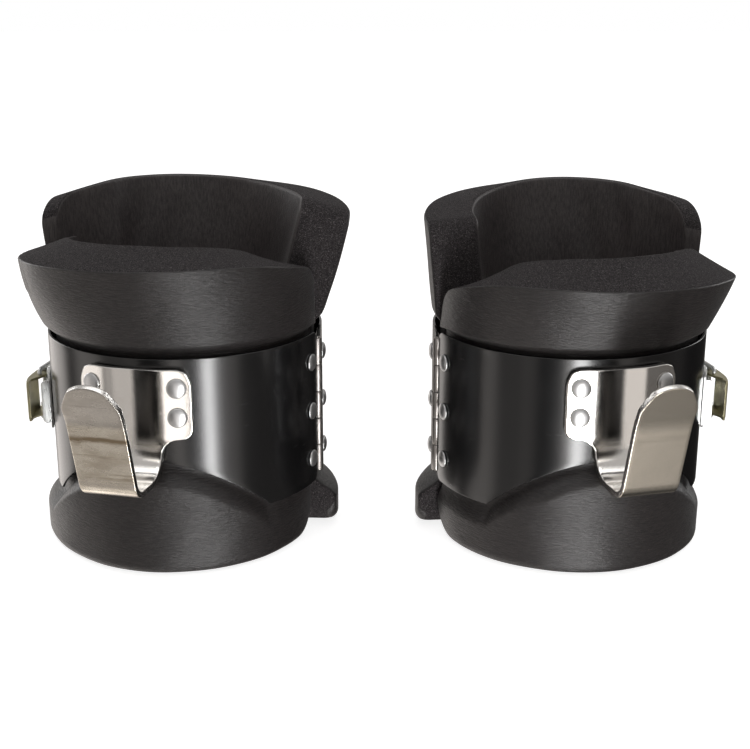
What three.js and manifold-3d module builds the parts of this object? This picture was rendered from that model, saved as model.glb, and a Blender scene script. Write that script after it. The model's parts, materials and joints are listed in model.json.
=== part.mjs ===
// A pair of inversion boots: two ankle cuffs that hang a person from a bar. Each cuff is two
// half shells of sheet steel on a piano hinge, lined with foam, with a bar hook on the front
// and a draw latch on the outer side. Millimetres, +Z up.
// Each boot is drawn about its own cuff axis: -Y is the front, +X the hinge, -X the latch.
// A turn is an angle round that axis in degrees, 0 at the front and 90 at the hinge.
import * as THREE from 'three';
import { mergeVertices } from 'three/addons/utils/BufferGeometryUtils.js';
import Module from 'manifold-3d';

const wasm = await Module();
wasm.setup();

// Driving dimensions.
const gap = 0.3;               // between pieces that rest on or pass through each other
const running = 0.1;           // radial clearance of a pin in its bore
const bootSpacing = 225.6;     // between the two cuff axes
const cuff = { radius: 80, wall: 1.5, bottom: 34, top: 125, archTop: 67, archRadius: 77, corner: 6 };
const seam = 0.5;              // half the slit between the shells at the latch
const hinge = {
  bottom: 38, top: 120, knuckle: 2.6, pin: 1.2, leaf: 1.2, width: 20, knuckles: 5, rivetIn: 13, pinPast: 0.5,
};
const foam = { thickness: 29.5, seated: 24, endGap: 1, rimSwell: 4, edgeRun: 14 };
const hook = {
  turn: -1.7, strip: 3.4, top: 121, earBottom: 81, halfWidth: 31.2, neck: 16, flat: 10, bendRadius: 24,
  earAngle: 16.8, topCorner: 9.5, earCorner: 5.5, fillet: 7.5, bottom: 58.8, heel: 20, toe: 12, floor: 9.5,
  lean: 15, tipLean: 24, kink: 104, tip: 127, rivetUpper: 110, rivetLower: 93.5,
};
const latch = {
  height: 82, plate: 1.5, plateHalf: 17, plateStart: 3.5, plateEnd: 27, pinOut: 6, pinBack: 14, pin: 1.6,
  lug: 1.6, lugRadius: 3.7, lugOffset: 10, leverHalf: 12.2, leverWall: 1.4, bailOut: 4.4, bailBack: 24,
  wire: 1.3, bailCorner: 2.4, pinHead: 2.6, headDepth: 1, rivetIn: 3.8, lipOut: 6, lipHalf: 13, lipTurn: 1.1,
};
const keeper = {
  half: 11, end: 14.5, start: 3, tabAt: 8.2, tab: 1.4, tabOut: 7.6, tabHalf: 9, rivetTurn: 11.8, rivetIn: 4.5,
};
const hingeRivet = { head: 4.9, dome: 1.7, shank: 2.3, tail: 3.4, tailDepth: 1 };
const hookRivet = { head: 5.5, dome: 1.6, shank: 2.5, tail: 4, tailDepth: 1 };
const latchRivet = { head: 3.2, dome: 1.4, shank: 1.6, tail: 2.6, tailDepth: 1 };

// Each boot's turn outwards, and its foam. Values run from a pad's latch end to its hinge end in
// equal steps: how high the outer edge stands, how far it is from the cuff axis, and how much its
// flare bulges on the way up. tilt turns the top face inwards, latchRound thins the latch end and
// footRound takes off the outer lower edge.
const boots = {
  left: {
    toeOut: 11.6,
    front: {
      top: [166, 172, 175, 174, 163], topOut: [91, 94, 92, 86, 79], bottomOut: [87, 86, 85, 80, 75],
      bulge: [1, 0.6, 0.2, 0.2, 0.4], corners: { top: [3, 16], bottom: [14, 20] },
      tilt: 3, latchRound: 2, footRound: 6,
    },
    rear: {
      top: [192, 197, 198, 195, 192], topOut: [89, 91, 92, 93, 98], bottomOut: [86, 85, 85, 86, 89.5],
      bulge: [0.5, 0.3, 0.2, 0.2, 0.3], corners: { top: [16, 12], bottom: [14, 16] },
      tilt: 0, latchRound: 9, footRound: 7,
    },
  },
  right: {
    toeOut: 12.6,
    front: {
      top: [155, 162, 165, 164, 150], topOut: [89, 96, 95, 87, 78], bottomOut: [79, 84, 85, 82, 79],
      bulge: [0.2, 0.2, 0.2, 0.2, 0.4], corners: { top: [3, 20], bottom: [14, 20] },
      tilt: 6, latchRound: 2, footRound: 6,
    },
    rear: {
      top: [188, 196, 196, 191, 186], topOut: [83, 88, 92, 89, 85], bottomOut: [81, 85, 85, 86, 90],
      bulge: [0.5, 0.3, 0.2, 0.2, 0.3], corners: { top: [20, 10], bottom: [14, 14] },
      tilt: 0, latchRound: 15, footRound: 7,
    },
  },
};

// What follows from them.
const shellInside = cuff.radius - cuff.wall;
const hingeX = shellInside - gap - hinge.leaf + hinge.knuckle;
const leafInside = hingeX - hinge.knuckle;
const padSeat = leafInside - gap - hingeRivet.tailDepth - gap;
const plateInside = cuff.radius + gap;
const earInside = hook.flat * Math.sin(THREE.MathUtils.degToRad(hook.earAngle)) + hook.bendRadius
  + (plateInside - hook.bendRadius) * Math.cos(THREE.MathUtils.degToRad(hook.earAngle));
const pinA = new THREE.Vector2(-cuff.radius - latch.pinOut, -latch.pinBack);
const pinB = new THREE.Vector2(-cuff.radius - latch.bailOut, -latch.bailBack);
const bailEnd = keeper.tabAt + keeper.tab + gap + latch.wire;
const bailHalf = latch.leverHalf + gap + latch.headDepth + gap + latch.wire;

// How finely round shapes are faceted.
const pinSides = 12;
const rivetSides = 8;
const shellSteps = 32;
const archSides = 48;

// Materials, one for each finish.
const finish = (color, roughness, metalness) =>
  new THREE.MeshStandardMaterial({ color, roughness, metalness });
const finishes = {
  paint: finish(0x0b0b0d, 0.28, 0.1),
  foam: finish(0x29282a, 0.75, 0),
  chrome: finish(0xdedcd8, 0.12, 1),
  zinc: finish(0xc9cac6, 0.3, 1),
  passivated: finish(0xb3a97c, 0.32, 1),
  steel: finish(0xb8b8b8, 0.28, 1),
};

// Solids for cutting and joining.
const radians = THREE.MathUtils.degToRad;
function solid(geometry) {
  const bare = geometry.clone();
  bare.deleteAttribute('normal');
  bare.deleteAttribute('uv');
  const merged = mergeVertices(bare, 1e-4);
  return new wasm.Manifold(new wasm.Mesh({
    numProp: 3,
    vertProperties: new Float32Array(merged.attributes.position.array),
    triVerts: new Uint32Array(merged.index.array),
  }));
}

function surface(manifold) {
  const mesh = manifold.getMesh();
  const geometry = new THREE.BufferGeometry();
  geometry.setAttribute('position', new THREE.BufferAttribute(new Float32Array(mesh.vertProperties), 3));
  geometry.setIndex(new THREE.BufferAttribute(new Uint32Array(mesh.triVerts), 1));
  geometry.computeVertexNormals();
  return geometry;
}

const joined = (solids) => solids.reduce((whole, next) => whole.add(next));
const cut = (body, cutters) => cutters.reduce((left, cutter) => left.subtract(cutter), body);

const extruded = (shape, depth, curveSegments) =>
  new THREE.ExtrudeGeometry(shape, { depth, bevelEnabled: false, curveSegments });

const upright = (shape, low, high, curveSegments = 12) =>
  solid(extruded(shape, high - low, curveSegments).translate(0, 0, low));

function polygon(points) {
  return new THREE.Shape(points.map(([x, y]) => new THREE.Vector2(x, y)));
}

// A curved wall: the part of a tube between two radii and two turns.
function wall(inside, outside, from, to, low, high, segments) {
  const start = radians(from - 90);
  const end = radians(to - 90);
  const shape = new THREE.Shape();
  shape.absarc(0, 0, outside, start, end, false);
  shape.absarc(0, 0, inside, end, start, true);
  shape.closePath();
  return upright(shape, low, high, segments);
}

function rod(x, y, radius, low, high) {
  const geometry = new THREE.CylinderGeometry(radius, radius, high - low, pinSides);
  geometry.rotateX(Math.PI / 2);
  return solid(geometry.translate(x, y, (low + high) / 2));
}

// A drill that points at the cuff axis.
function radialDrill(turn, height, radius) {
  const geometry = new THREE.CylinderGeometry(radius, radius, 20, rivetSides);
  geometry.translate(0, -cuff.radius, height);
  return solid(geometry.rotateZ(radians(turn)));
}

function block(x0, x1, y0, y1, z0, z1) {
  const geometry = new THREE.BoxGeometry(x1 - x0, y1 - y0, z1 - z0);
  return solid(geometry.translate((x0 + x1) / 2, (y0 + y1) / 2, (z0 + z1) / 2));
}

// Half shells. side is -1 for the front half and 1 for the rear one.
const rivetHeights = [0, 1, 2].map((i) => {
  const margin = (hinge.top - hinge.bottom) / 7;
  return THREE.MathUtils.lerp(hinge.bottom + margin, hinge.top - margin, i / 2);
});
const hingeRivetTurn = THREE.MathUtils.radToDeg(hinge.rivetIn / cuff.radius);
const hookRivets = [-1, 1].flatMap((side) =>
  [hook.rivetLower, hook.rivetUpper].map((height) => ({ turn: hook.turn + side * hook.earAngle, height })));
const baseRivetTurn = -90 + (latch.plateStart + latch.plateEnd) / 2;
const baseRivetHeights = [-1, 1].map((side) => latch.height + side * (latch.plateHalf - latch.rivetIn));
const keeperRivetTurn = -90 - keeper.rivetTurn;
const keeperRivetHeights = [-1, 1].map((side) => latch.height + side * (keeper.half - keeper.rivetIn));
const hingeClear = hinge.knuckle + 2 * gap;

// What rounds off a shell's corner: the square outside a quarter circle, cut through the wall.
function cornerCutter(x, y, z, towardsY, towardsZ) {
  const r = cuff.corner;
  const shape = new THREE.Shape();
  shape.moveTo(-1, -1);
  shape.lineTo(r, -1);
  shape.lineTo(r, 0);
  shape.absarc(r, r, r, -Math.PI / 2, -Math.PI, true);
  shape.lineTo(-1, r);
  const geometry = extruded(shape, 30, 4).translate(0, 0, -15);
  geometry.applyMatrix4(new THREE.Matrix4().makeBasis(
    new THREE.Vector3(0, towardsY, 0),
    new THREE.Vector3(0, 0, towardsZ),
    new THREE.Vector3(towardsY * towardsZ, 0, 0),
  ));
  return solid(geometry.translate(x, y, z));
}

function shellHalf(side, holes) {
  const hingeTrim = THREE.MathUtils.radToDeg(hingeClear / cuff.radius);
  const seamTrim = THREE.MathUtils.radToDeg(seam / cuff.radius);
  const [from, to] = side < 0 ? [-90 + seamTrim, 90 - hingeTrim] : [90 + hingeTrim, 270 - seamTrim];
  const half = wall(shellInside, cuff.radius, from, to, cuff.bottom, cuff.top, shellSteps);
  const arch = new THREE.CylinderGeometry(cuff.archRadius, cuff.archRadius, 2 * cuff.radius, archSides);
  arch.translate(0, side * (cuff.radius + 2 * seam), cuff.archTop - cuff.archRadius);
  const corners = [[-1, seam], [1, hingeClear]].flatMap(([end, clear]) => [
    cornerCutter(end * cuff.radius, side * clear, cuff.bottom, side, 1),
    cornerCutter(end * cuff.radius, side * clear, cuff.top, side, -1),
  ]);
  const drills = holes.map(({ turn, height, radius }) => radialDrill(turn, height, radius + gap));
  return surface(cut(half, [solid(arch), ...corners, ...drills]));
}

// Piano hinge. The front leaf has the knuckles at both ends and in the middle.
function hingeLeaf(side) {
  const reach = THREE.MathUtils.radToDeg(hinge.width / leafInside);
  const [from, to] = side < 0 ? [90 - reach, 90] : [90, 90 + reach];
  const pitch = (hinge.top - hinge.bottom) / hinge.knuckles;
  const own = [];
  const others = [];
  for (let i = 0; i < hinge.knuckles; i += 1) {
    const low = hinge.bottom + i * pitch;
    const mine = (i % 2 === 0) === (side < 0);
    if (mine) {
      own.push(rod(hingeX, 0, hinge.knuckle, low + gap / 2, low + pitch - gap / 2));
    } else {
      others.push(rod(hingeX, 0, hinge.knuckle + gap, low - gap / 2, low + pitch + gap / 2));
    }
  }
  const plate = wall(leafInside, leafInside + hinge.leaf, from, to, hinge.bottom, hinge.top, 6);
  const bore = rod(hingeX, 0, hinge.pin + running, hinge.bottom - 1, hinge.top + 1);
  const drills = rivetHeights.map((height) =>
    radialDrill(90 + side * hingeRivetTurn, height, hingeRivet.shank + gap));
  const trimmed = cut(plate, [...others, ...drills]);
  return surface(joined([trimmed, ...own]).subtract(bore));
}

function hingePin() {
  return surface(rod(hingeX, 0, hinge.pin, hinge.bottom - hinge.pinPast, hinge.top + hinge.pinPast));
}

// A rivet with its head outside, at y = 0 on the seat, and its upset tail inside the cuff.
function rivetGeometry(size, grip) {
  const dome = [];
  for (let i = 0; i <= 2; i += 1) {
    const swing = (i / 2) * Math.PI / 2;
    dome.push(new THREE.Vector2(size.head * Math.sin(swing), -0.4 - size.dome * Math.cos(swing)));
  }
  const points = [
    ...dome,
    new THREE.Vector2(size.head, 0),
    new THREE.Vector2(size.shank, 0),
    new THREE.Vector2(size.shank, grip),
    new THREE.Vector2(size.tail, grip),
    new THREE.Vector2(size.tail, grip + size.tailDepth),
    new THREE.Vector2(0, grip + size.tailDepth),
  ];
  return surface(solid(new THREE.LatheGeometry(points, rivetSides)));
}

// Bar hook: a bent plate with two riveted ears, a neck, a U bend and a leaning tongue.
function hookPlate() {
  const angle = radians(hook.earAngle);
  const inner = -plateInside;
  const bend = hook.bendRadius;
  const reach = 24;
  const half = new THREE.Shape();
  const curve = (radius, points) => {
    for (let i = 0; i <= 4; i += 1) {
      const swing = (i / 4) * angle;
      points.push([hook.flat + radius * Math.sin(swing), inner + bend - radius * Math.cos(swing)]);
    }
    const [x, y] = points[points.length - 1];
    points.push([x + reach * Math.cos(angle), y + reach * Math.sin(angle)]);
    return points;
  };
  const insideLine = curve(bend, [[0, inner]]);
  const outsideLine = curve(bend + hook.strip, [[0, inner - hook.strip]]);
  const right = [...outsideLine, ...insideLine.reverse()];
  half.setFromPoints(right.map(([x, y]) => new THREE.Vector2(x, y)));
  const rightSolid = upright(half, hook.bottom, hook.top + 1);
  return rightSolid.add(rightSolid.mirror([1, 0, 0]));
}

// The plate's outline, seen from the front.
function plateOutline(low) {
  const { halfWidth, neck, earBottom, earCorner, topCorner, fillet, top } = hook;
  const shape = new THREE.Shape();
  shape.moveTo(-neck, low);
  shape.lineTo(neck, low);
  shape.lineTo(neck, earBottom - fillet);
  shape.absarc(neck + fillet, earBottom - fillet, fillet, Math.PI, Math.PI / 2, true);
  shape.lineTo(halfWidth - earCorner, earBottom);
  shape.absarc(halfWidth - earCorner, earBottom + earCorner, earCorner, -Math.PI / 2, 0, false);
  shape.lineTo(halfWidth, top - topCorner);
  shape.absarc(halfWidth - topCorner, top - topCorner, topCorner, 0, Math.PI / 2, false);
  shape.lineTo(-halfWidth + topCorner, top);
  shape.absarc(-halfWidth + topCorner, top - topCorner, topCorner, Math.PI / 2, Math.PI, false);
  shape.lineTo(-halfWidth, earBottom + earCorner);
  shape.absarc(-halfWidth + earCorner, earBottom + earCorner, earCorner, Math.PI, 1.5 * Math.PI, false);
  shape.lineTo(-neck - fillet, earBottom);
  shape.absarc(-neck - fillet, earBottom - fillet, fillet, Math.PI / 2, 0, true);
  shape.closePath();
  return shape;
}

// The strip from the side: u runs out from the plate's inner face and v is the height.
function stripProfile() {
  const heelAt = new THREE.Vector2(hook.heel, hook.bottom + hook.heel);
  const toeAt = new THREE.Vector2(hook.heel + hook.floor, hook.bottom + hook.toe);
  const line = (inset) => {
    const points = [[inset, hook.earBottom + 2]];
    for (let i = 0; i <= 9; i += 1) {
      const swing = Math.PI + (i / 9) * Math.PI / 2;
      const radius = hook.heel - inset;
      points.push([heelAt.x + radius * Math.cos(swing), heelAt.y + radius * Math.sin(swing)]);
    }
    for (let i = 0; i <= 7; i += 1) {
      const swing = radians(-90 + (i / 7) * (90 - hook.lean));
      const radius = hook.toe - inset;
      points.push([toeAt.x + radius * Math.cos(swing), toeAt.y + radius * Math.sin(swing)]);
    }
    const kinkFrom = points[points.length - 1];
    const kinkAt = [kinkFrom[0] + (hook.kink - kinkFrom[1]) * Math.tan(radians(hook.lean)), hook.kink];
    points.push(kinkAt);
    points.push([kinkAt[0] + (hook.tip + 1 - hook.kink) * Math.tan(radians(hook.tipLean)), hook.tip + 1]);
    return points;
  };
  return [...line(0), ...line(hook.strip).reverse()];
}

function tongueOutline() {
  const shape = new THREE.Shape();
  shape.moveTo(-hook.neck, 0);
  shape.lineTo(hook.neck, 0);
  shape.lineTo(hook.neck, hook.tip - hook.neck);
  shape.absarc(0, hook.tip - hook.neck, hook.neck, 0, Math.PI, false);
  shape.closePath();
  return shape;
}

// Turns a drawing of x across and y up into a solid that runs from the cuff axis to the front.
function facingForward(shape, near, far) {
  const geometry = extruded(shape, far - near, 6).rotateX(Math.PI / 2);
  return solid(geometry.translate(0, -near, 0));
}

function hookGeometry() {
  const outline = facingForward(plateOutline(hook.earBottom - hook.fillet), 40, 120);
  const plate = hookPlate().intersect(outline);
  const band = extruded(polygon(stripProfile()), 2 * hook.neck, 1).translate(0, 0, -hook.neck);
  band.applyMatrix4(new THREE.Matrix4().makeBasis(
    new THREE.Vector3(0, -1, 0),
    new THREE.Vector3(0, 0, 1),
    new THREE.Vector3(-1, 0, 0),
  ));
  const strip = solid(band.translate(0, -plateInside, 0)).intersect(facingForward(tongueOutline(), 40, 200));
  const whole = plate.add(strip).rotate([0, 0, hook.turn]);
  const drills = hookRivets.map(({ turn, height }) => radialDrill(turn, height, hookRivet.shank + gap));
  return surface(cut(whole, drills));
}

// Draw latch. Its pieces are drawn from above: out is measured from the shell and back from the slit.
const latchPoint = ([out, back]) => [-cuff.radius - out, -back];

function latchBase() {
  const plate = wall(
    plateInside, plateInside + latch.plate, -90 + latch.plateStart, -90 + latch.plateEnd,
    latch.height - latch.plateHalf, latch.height + latch.plateHalf, 8,
  );
  const lugShape = new THREE.Shape();
  lugShape.moveTo(-plateInside - latch.plate / 2, -latch.pinBack + 1.5 * latch.lugRadius);
  lugShape.absarc(pinA.x, pinA.y, latch.lugRadius, radians(69), radians(290), false);
  const foot = latch.pinBack + 1.8 * latch.lugRadius;
  lugShape.lineTo(-Math.sqrt((plateInside + latch.plate / 2) ** 2 - foot ** 2), -foot);
  lugShape.closePath();
  const lugs = [-1, 1].map((side) => {
    const middle = latch.height + side * (latch.lugOffset - latch.lug / 2);
    return upright(lugShape, middle - latch.lug / 2, middle + latch.lug / 2, 6);
  });
  const plateEdge = -90 + latch.plateEnd;
  const lip = wall(
    plateInside + latch.plate / 2, plateInside + latch.lipOut, plateEdge - latch.lipTurn, plateEdge,
    latch.height - latch.lipHalf, latch.height + latch.lipHalf, 1,
  );
  const bore = rod(pinA.x, pinA.y, latch.pin + running, latch.height - 20, latch.height + 20);
  const drills = baseRivetHeights.map((height) => radialDrill(baseRivetTurn, height, latchRivet.shank + gap));
  return surface(cut(joined([plate, lip, ...lugs]), [bore, ...drills]));
}

// The lever is a channel: its flanges hold the pivot pin and the bail, and its web is the handle.
function leverGeometry() {
  const { pinOut, pinBack, bailOut, bailBack } = latch;
  const flange = polygon([
    [pinOut - 3.8, pinBack - 3.8], [pinOut, pinBack - 4.8], [pinOut + 3.2, pinBack - 3.8],
    [pinOut + 4.2, pinBack - 1], [pinOut + 4, pinBack + 6], [bailOut + 4.9, bailBack + 4],
    [bailOut + 3.2, bailBack + 10], [bailOut + 1.2, bailBack + 15.4], [bailOut, bailBack + 14.8],
    [bailOut + 0.8, bailBack + 9.5], [bailOut - 1.4, bailBack + 5], [bailOut - 2.8, bailBack],
    [pinOut - 4, pinBack + 1],
  ].map(latchPoint));
  const inside = polygon([
    [-4, 0], [pinOut + 12, 0], [pinOut + 12, pinBack + 3], [pinOut + 2.8, pinBack + 3.1],
    [pinOut + 2.6, pinBack + 6], [bailOut + 3.5, bailBack + 3.6], [bailOut + 1.8, bailBack + 9.5],
    [bailOut + 0.6, bailBack + 12], [bailOut - 1, bailBack + 21], [-4, bailBack + 21],
  ].map(latchPoint));
  const innerHalf = latch.leverHalf - latch.leverWall;
  const body = upright(flange, latch.height - latch.leverHalf, latch.height + latch.leverHalf);
  const hollow = upright(inside, latch.height - innerHalf, latch.height + innerHalf);
  const bores = [[pinA, latch.pin + running], [pinB, latch.wire + gap]].map(([at, radius]) =>
    rod(at.x, at.y, radius, latch.height - 20, latch.height + 20));
  return surface(cut(body, [hollow, ...bores]));
}

function leverPin() {
  const { x, y } = pinA;
  const flangeFace = latch.leverHalf + gap;
  const shank = rod(x, y, latch.pin, latch.height - flangeFace, latch.height + flangeFace);
  const upper = latch.height + flangeFace;
  const lower = latch.height - flangeFace;
  const heads = [[upper, upper + latch.headDepth], [lower - latch.headDepth, lower]].map(([from, to]) =>
    rod(x, y, latch.pinHead, from, to));
  return surface(joined([shank, ...heads]));
}

// The bail is one bent wire whose ends turn in through the lever's flanges.
function bailGeometry() {
  const x = pinB.x;
  const r = latch.bailCorner;
  const inEnd = latch.leverHalf - latch.leverWall + gap;
  const corners = [
    [pinB.y, -inEnd], [pinB.y, -bailHalf], [bailEnd, -bailHalf], [bailEnd, bailHalf], [pinB.y, bailHalf],
    [pinB.y, inEnd],
  ].map(([y, z]) => new THREE.Vector3(x, y, latch.height + z));
  const path = new THREE.CurvePath();
  let last = corners[0];
  for (let i = 1; i < corners.length - 1; i += 1) {
    const back = corners[i - 1].clone().sub(corners[i]).setLength(r).add(corners[i]);
    const ahead = corners[i + 1].clone().sub(corners[i]).setLength(r).add(corners[i]);
    path.add(new THREE.LineCurve3(last, back));
    path.add(new THREE.QuadraticBezierCurve3(back, corners[i], ahead));
    last = ahead;
  }
  path.add(new THREE.LineCurve3(last, corners[corners.length - 1]));
  const section = new THREE.Shape();
  section.absarc(0, 0, latch.wire, 0, 2 * Math.PI, false);
  const steps = Math.round(path.getLength() / (2 * latch.wire));
  const geometry = new THREE.ExtrudeGeometry(section, { steps, extrudePath: path, curveSegments: 4 });
  return surface(solid(geometry));
}

function keeperGeometry() {
  const low = latch.height - keeper.half;
  const high = latch.height + keeper.half;
  const [from, to] = [-90 - keeper.end, -90 - keeper.start];
  const plate = wall(plateInside, plateInside + latch.plate, from, to, low, high, 4);
  const tab = block(
    -cuff.radius - keeper.tabOut, -plateInside - latch.plate / 3, keeper.tabAt, keeper.tabAt + keeper.tab,
    latch.height - keeper.tabHalf, latch.height + keeper.tabHalf,
  );
  const drills = keeperRivetHeights.map((height) =>
    radialDrill(keeperRivetTurn, height, latchRivet.shank + gap));
  return surface(cut(plate.add(tab), drills));
}

// Foam pads. The height of the shell's lower edge over a turn, where the arch lifts it.
function shellEdge(turn) {
  const across = cuff.radius * Math.sin(radians(turn));
  const rise = Math.sqrt(Math.max(cuff.archRadius ** 2 - across ** 2, 0));
  return Math.max(cuff.bottom, cuff.archTop - cuff.archRadius + rise);
}

const blend = (values, share) =>
  new THREE.SplineCurve(values.map((value) => new THREE.Vector2(value, 0))).getPoint(share).x;

// How far a rounded corner of this radius takes an edge back, at a distance from the pad's end.
function cornerDrop(radius, distance) {
  const inside = Math.max(radius - distance, 0);
  return radius - Math.sqrt(radius ** 2 - inside ** 2);
}

const lowerRows = [0, 0.1, 0.3, 0.6, 1];
const upperRows = [0, 0.14, 0.4, 0.7, 1];
const crowding = 0.09;          // how much a pad's columns gather towards its ends

function padGeometry(shape, side) {
  const around = 22;
  const rows = lowerRows.length + upperRows.length - 1;
  const geometry = new THREE.BoxGeometry(1, 1, 1, around, rows, 1);
  const position = geometry.attributes.position;
  const trim = THREE.MathUtils.radToDeg(foam.endGap / (padSeat - foam.seated));
  const { smoothstep, lerp } = THREE.MathUtils;
  for (let i = 0; i < position.count; i += 1) {
    const step = 0.5 - side * position.getX(i);
    const eased = step - crowding * Math.sin(2 * Math.PI * step);
    const swing = lerp(-90 + trim, 90 - trim, eased);
    const turn = side < 0 ? swing : 180 - swing;
    const share = (swing + 90) / 180;
    const end = share < 0.5 ? 0 : 1;
    const fromEnd = cuff.radius * radians(90 - trim - Math.abs(swing));
    const top = blend(shape.top, share) - cornerDrop(shape.corners.top[end], fromEnd);
    const bottom = cornerDrop(shape.corners.bottom[end], fromEnd);
    const edge = shellEdge(turn) - 2 * gap;
    const rim = cuff.top + 2 * gap;
    const row = Math.round((position.getY(i) + 0.5) * rows);
    const below = row < lowerRows.length;
    const along = below ? lowerRows[row] : upperRows[row - lowerRows.length];
    const height = below ? lerp(bottom, edge, along) : lerp(rim, top, along);
    const flare = along * (1 + blend(shape.bulge, share) * (1 - along));
    const topOut = blend(shape.topOut, share);
    const swell = below
      ? (blend(shape.bottomOut, share) - padSeat) * smoothstep(edge - height, 0, foam.edgeRun)
      : foam.rimSwell * smoothstep(along, 0, upperRows[1]) + (topOut - padSeat - foam.rimSwell) * flare;
    const thickness = lerp(foam.seated, foam.thickness, smoothstep(Math.abs(swell), 0, foam.rimSwell))
      - (end === 0 ? cornerDrop(shape.latchRound, fromEnd) : 0);
    const lean = below ? 0 : along * (Math.atan2(topOut - cuff.radius, top - rim) + radians(shape.tilt));
    const outside = position.getZ(i) > 0;
    const foot = outside && below ? cornerDrop(shape.footRound, height - bottom) : 0;
    const inside = outside ? 0 : thickness;
    const radius = padSeat + swell - foot - inside * Math.cos(lean);
    const angle = radians(turn);
    position.setXYZ(i, radius * Math.sin(angle), -radius * Math.cos(angle), height + inside * Math.sin(lean));
  }
  return surface(solid(geometry));
}

// Assembly. A boot's pieces sit in four moving groups: the rear half carries the front half on
// the hinge, the front half carries the lever, and the lever carries the bail.
function boot(name, padShapes) {
  const rear = new THREE.Group();
  const front = new THREE.Group();
  const lever = new THREE.Group();
  const bail = new THREE.Group();
  front.position.set(hingeX, 0, 0);
  lever.position.set(pinA.x - hingeX, pinA.y, latch.height);
  bail.position.set(pinB.x - pinA.x, pinB.y - pinA.y, 0);
  rear.add(front);
  front.add(lever);
  lever.add(bail);

  const put = (group, part, geometry, material) => {
    const piece = new THREE.Mesh(geometry, material);
    piece.name = `${name}_${part}`;
    for (let holder = group; holder !== rear; holder = holder.parent) {
      piece.position.sub(holder.position);
    }
    group.add(piece);
    return piece;
  };
  const rivet = (group, part, size, material, place) => {
    const { turn, height, seat, grip } = place;
    const piece = put(group, part, rivetGeometry(size, grip), material);
    const angle = radians(turn);
    piece.rotation.z = angle;
    piece.position.add(new THREE.Vector3(seat * Math.sin(angle), -seat * Math.cos(angle), height));
  };

  const hingeHoles = (side) => rivetHeights.map((height) =>
    ({ turn: 90 + side * hingeRivetTurn, height, radius: hingeRivet.shank }));
  const frontHoles = [
    ...hingeHoles(-1),
    ...hookRivets.map(({ turn, height }) => ({ turn, height, radius: hookRivet.shank })),
    ...baseRivetHeights.map((height) => ({ turn: baseRivetTurn, height, radius: latchRivet.shank })),
  ];
  const rearHoles = [
    ...hingeHoles(1),
    ...keeperRivetHeights.map((height) => ({ turn: keeperRivetTurn, height, radius: latchRivet.shank })),
  ];

  put(rear, 'rear_shell', shellHalf(1, rearHoles), finishes.paint);
  put(rear, 'rear_pad', padGeometry(padShapes.rear, 1), finishes.foam);
  put(rear, 'hinge_rear_leaf', hingeLeaf(1), finishes.steel);
  put(rear, 'hinge_pin', hingePin(), finishes.steel);
  put(rear, 'keeper', keeperGeometry(), finishes.zinc);
  put(front, 'front_shell', shellHalf(-1, frontHoles), finishes.paint);
  put(front, 'front_pad', padGeometry(padShapes.front, -1), finishes.foam);
  put(front, 'hinge_front_leaf', hingeLeaf(-1), finishes.steel);
  put(front, 'hook', hookGeometry(), finishes.chrome);
  put(front, 'latch_base', latchBase(), finishes.zinc);
  put(front, 'latch_pin', leverPin(), finishes.steel);
  put(lever, 'latch_lever', leverGeometry(), finishes.passivated);
  put(bail, 'latch_bail', bailGeometry(), finishes.zinc);

  const headSeat = cuff.radius + gap;
  const hingeFit = { seat: headSeat, grip: headSeat - leafInside + gap };
  rivetHeights.forEach((height, i) => {
    [['rear', rear, 1], ['front', front, -1]].forEach(([half, group, side]) => {
      const place = { turn: 90 + side * hingeRivetTurn, height, ...hingeFit };
      rivet(group, `hinge_rivet_${half}_${i + 1}`, hingeRivet, finishes.steel, place);
    });
  });
  const plateSeat = earInside + hook.strip + gap;
  const plateFit = { seat: plateSeat, grip: plateSeat - shellInside + gap };
  hookRivets.forEach((spot, i) => {
    rivet(front, `hook_rivet_${i + 1}`, hookRivet, finishes.steel, { ...spot, ...plateFit });
  });
  const latchSeat = plateInside + latch.plate + gap;
  const latchFit = { seat: latchSeat, grip: latchSeat - shellInside + gap };
  baseRivetHeights.forEach((height, i) => {
    const place = { turn: baseRivetTurn, height, ...latchFit };
    rivet(front, `latch_rivet_${i + 1}`, latchRivet, finishes.zinc, place);
  });
  keeperRivetHeights.forEach((height, i) => {
    const place = { turn: keeperRivetTurn, height, ...latchFit };
    rivet(rear, `keeper_rivet_${i + 1}`, latchRivet, finishes.zinc, place);
  });
  return rear;
}

// The two boots stand side by side, hinges towards each other and hooks turned outwards.
const left = boot('left', boots.left);
left.position.x = -bootSpacing / 2;
left.rotation.z = -radians(boots.left.toeOut);
const right = boot('right', boots.right);
right.position.x = bootSpacing / 2;
right.rotation.z = radians(boots.right.toeOut);
right.scale.x = -1;

const pair = new THREE.Group();
pair.add(left, right);

// The origin is the middle of the footprint's box, on the ground.
pair.updateMatrixWorld(true);
const box = new THREE.Box3().setFromObject(pair, true);
pair.position.set(-(box.min.x + box.max.x) / 2, -(box.min.y + box.max.y) / 2, -box.min.z);

const group = new THREE.Group();
group.add(pair);

export default group;
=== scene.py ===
# A pair of inversion boots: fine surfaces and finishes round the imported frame.
# Shapes are worked out in millimetres in each boot's own frame: -y is the front, +x the hinge,
# -x the latch. A turn is an angle round the cuff axis, 0 at the front and 90 at the hinge.
import json
import math
from itertools import product

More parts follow.
